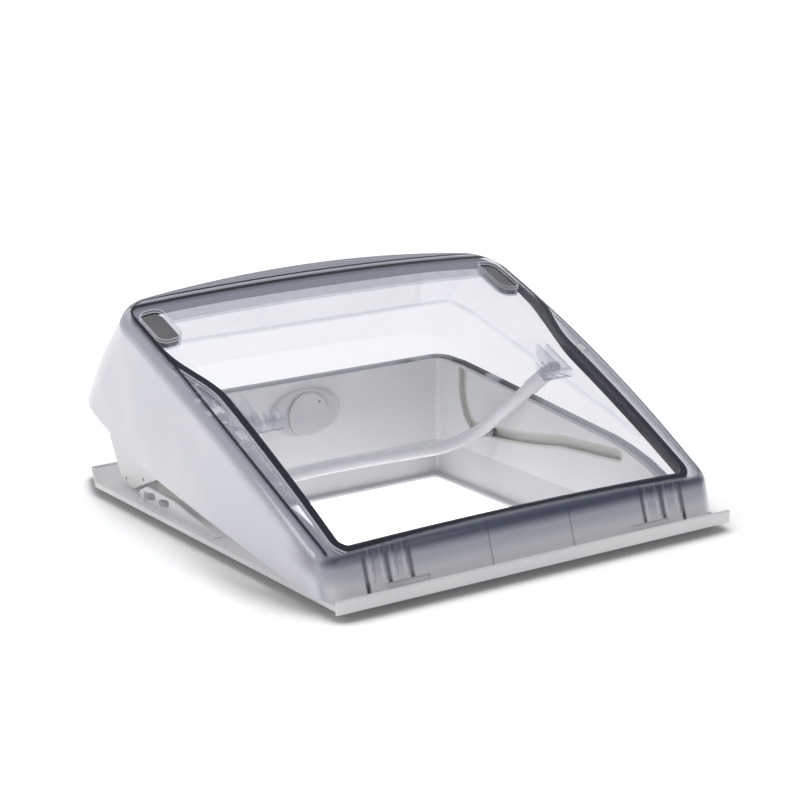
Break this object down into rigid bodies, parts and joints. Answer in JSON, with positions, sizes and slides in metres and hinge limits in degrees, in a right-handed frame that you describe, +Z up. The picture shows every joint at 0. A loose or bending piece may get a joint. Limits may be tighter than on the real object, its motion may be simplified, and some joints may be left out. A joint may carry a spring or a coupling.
{
  "type": "roof vent cover",
  "caption": "Caravan rooflight with a tinted wedge-shaped double dome hinged at its low edge, and a bail that slides in the side walls to hold it open.",
  "frame": {"origin": "centre of the base flange, on the underside that rests on the roof", "axes": "+Z up, +Y from the hinged low edge to the tall end, +X to the right seen from the hinge side"},
  "size_m": [0.5004, 0.5375, 0.2855],
  "materials": {
    "frame_white": "moulded, satin gloss",
    "lining_grey": "moulded, fine matt",
    "seal_rubber": "soft foam rubber",
    "window_gasket": "glossy black",
    "track_cream": "moulded, matt",
    "screw_steel": "zinc plated",
    "tinted_acrylic": "clear polished, grey tint",
    "clear_acrylic": "clear polished",
    "plug_grey": "moulded, matt",
    "bail_plastic": "moulded, satin"
  },
  "bodies": {
    "base": {"boss_cap": "lining_grey", "collar_seal": "seal_rubber", "frame_screws": "screw_steel", "front_lip": "frame_white", "guide_track_left": "track_cream", "guide_track_right": "track_cream", "hinge_base_left": "frame_white", "hinge_base_right": "frame_white", "hinge_pin_left": "screw_steel", "hinge_pin_right": "screw_steel", "inner_frame": "lining_grey", "outer_frame": "frame_white", "rear_boss": "lining_grey", "side_rail_left": "frame_white", "side_rail_right": "frame_white", "side_shield_left": "frame_white", "side_shield_right": "frame_white"},
    "dome": {"bail_bracket_left": "clear_acrylic", "bail_bracket_right": "clear_acrylic", "bracket_pin_left": "bail_plastic", "bracket_pin_right": "bail_plastic", "corner_plug_left": "plug_grey", "corner_plug_right": "plug_grey", "hinge_dome_left": "plug_grey", "hinge_dome_right": "plug_grey", "inner_dome": "clear_acrylic", "outer_dome": "tinted_acrylic", "pane_seal": "window_gasket", "plug_cup_left": "clear_acrylic", "plug_cup_right": "clear_acrylic", "vent_stopper": "bail_plastic"},
    "bail": {"bail_end_left": "bail_plastic", "bail_end_right": "bail_plastic", "bail_tube": "bail_plastic", "guide_pin_left": "screw_steel", "guide_pin_right": "screw_steel", "guide_roller_left": "plug_grey", "guide_roller_right": "plug_grey"}
  },
  "joints": [
    {"name": "dome_hinge", "type": "hinge", "parent": "base", "child": "dome", "pos_m": [0, -0.248, 0.008], "axis": [1, 0, 0], "range_deg": [-8.7, 20]},
    {"name": "bail_pivot", "type": "hinge", "parent": "dome", "child": "bail", "pos_m": [0, -0.03646, 0.12231], "axis": [1, 0, 0], "range_deg": [-52.5, 23]}
  ],
  "couplings": [
    {"joint": "bail_pivot", "follows": "dome_hinge", "ratio": -2.6}
  ]
}
